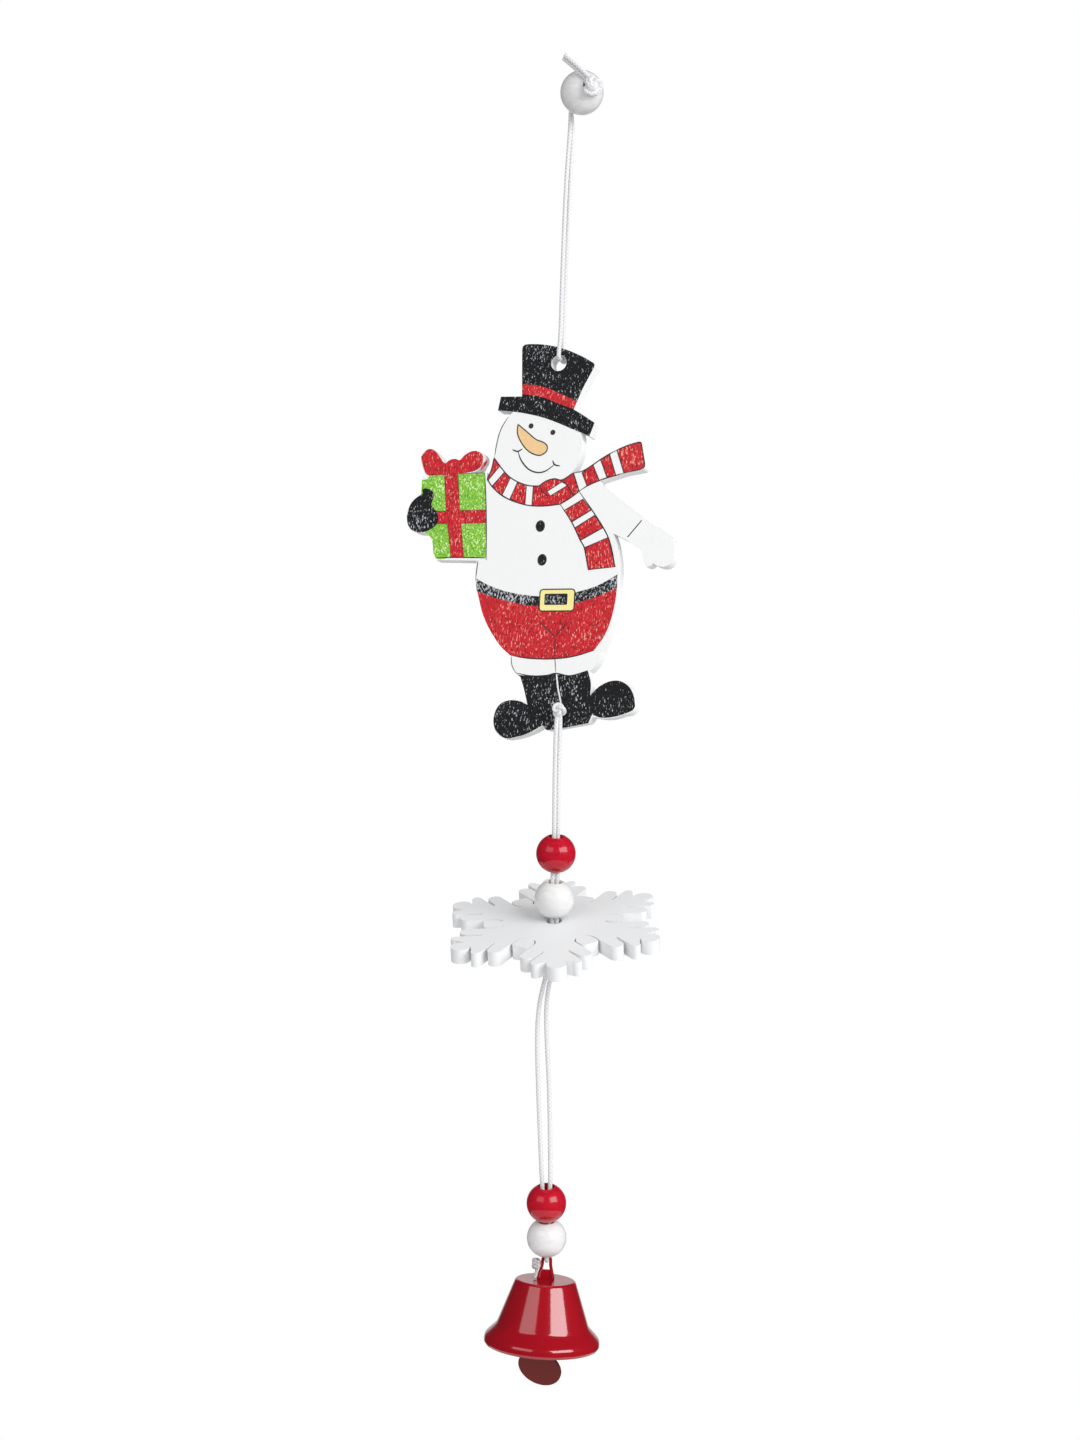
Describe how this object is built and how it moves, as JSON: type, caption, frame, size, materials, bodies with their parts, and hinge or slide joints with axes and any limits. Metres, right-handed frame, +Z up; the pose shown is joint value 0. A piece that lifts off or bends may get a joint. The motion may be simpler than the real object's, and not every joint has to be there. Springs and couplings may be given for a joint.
{
  "type": "hanging wooden snowman",
  "caption": "Hanging ornament: flat printed wooden snowman on white cord, with round beads, a wooden snowflake below it and a small red bell with a disc clapper at the bottom.",
  "frame": {"origin": "the point the ornament hangs by: between the two strands of the hanging cord, just below the top bead", "axes": "+Z up, +X to the snowman's left hand (right as one looks at its face), -Y towards a viewer of its face"},
  "size_m": [0.1025, 0.0718, 0.4605],
  "materials": {
    "cord": "white braided polyester",
    "white_bead": "white satin paint",
    "red_bead": "red satin paint",
    "printed_board": "white plywood with a printed front",
    "white_board": "white painted plywood",
    "red_bell": "gloss red enamel",
    "red_clapper": "worn red enamel"
  },
  "bodies": {
    "hanger": {"hanger_cord": "cord", "hanger_knot": "cord"},
    "top_bead": {"top_bead": "white_bead"},
    "snowman": {"snowman_board": "printed_board"},
    "pendant": {"pendant_knot": "cord", "pendant_cord": "cord", "snowflake_knot": "cord"},
    "mid_red_bead": {"mid_red_bead": "red_bead"},
    "mid_white_bead": {"mid_white_bead": "white_bead"},
    "snowflake": {"snowflake": "white_board"},
    "lower_strands": {"lower_cord": "cord"},
    "low_red_bead": {"low_red_bead": "red_bead"},
    "low_white_bead": {"low_white_bead": "white_bead"},
    "bell": {"bell_shell": "red_bell", "bell_loop": "red_bell", "bell_knot": "cord"},
    "clapper": {"clapper_rod": "red_clapper", "clapper_disc": "red_clapper"}
  },
  "joints": [
    {"name": "top_bead_spin", "type": "hinge", "parent": "hanger", "child": "top_bead", "pos_m": [0.00626, -0.00634, 0.0042], "axis": [0.7014, -0.711, 0.05], "continuous": true},
    {"name": "snowman_swing", "type": "hinge", "parent": "hanger", "child": "snowman", "pos_m": [-0.00097, -0.00062, -0.08691], "axis": [0, 0.9954, -0.0958], "range_deg": [-30, 30]},
    {"name": "pendant_swing", "type": "hinge", "parent": "snowman", "child": "pendant", "pos_m": [0.00733, -0.01252, -0.21054], "axis": [0, 0.9954, -0.0958], "range_deg": [-25, 25]},
    {"name": "mid_red_bead_spin", "type": "hinge", "parent": "pendant", "child": "mid_red_bead", "pos_m": [0.0078, -0.01768, -0.259], "axis": [0.0806, -0.21, 0.9744], "continuous": true},
    {"name": "mid_white_bead_spin", "type": "hinge", "parent": "pendant", "child": "mid_white_bead", "pos_m": [0.00761, -0.01775, -0.2745], "axis": [0.0806, -0.21, 0.9744], "continuous": true},
    {"name": "snowflake_spin", "type": "hinge", "parent": "pendant", "child": "snowflake", "pos_m": [0.00757, -0.0169, -0.28436], "axis": [0.0532, -0.3283, 0.9431], "continuous": true},
    {"name": "lower_strands_swing", "type": "hinge", "parent": "pendant", "child": "lower_strands", "pos_m": [0.00735, -0.01551, -0.28835], "axis": [0.3584, -0.9336, 0], "range_deg": [-20, 20]},
    {"name": "low_red_bead_spin", "type": "hinge", "parent": "lower_strands", "child": "low_red_bead", "pos_m": [0.00772, -0.01837, -0.3781], "axis": [0.0491, -0.22, 0.9743], "continuous": true},
    {"name": "low_white_bead_spin", "type": "hinge", "parent": "lower_strands", "child": "low_white_bead", "pos_m": [0.0071, -0.01559, -0.3904], "axis": [0.0491, -0.22, 0.9743], "continuous": true},
    {"name": "bell_swing", "type": "hinge", "parent": "lower_strands", "child": "bell", "pos_m": [0.00679, -0.01422, -0.3986], "axis": [0.3584, -0.9336, 0], "range_deg": [-15, 15]},
    {"name": "clapper_swing", "type": "hinge", "parent": "bell", "child": "clapper", "pos_m": [0.00636, -0.01438, -0.41044], "axis": [0.9329, 0.3581, -0.0384], "range_deg": [-20, 20]}
  ]
}
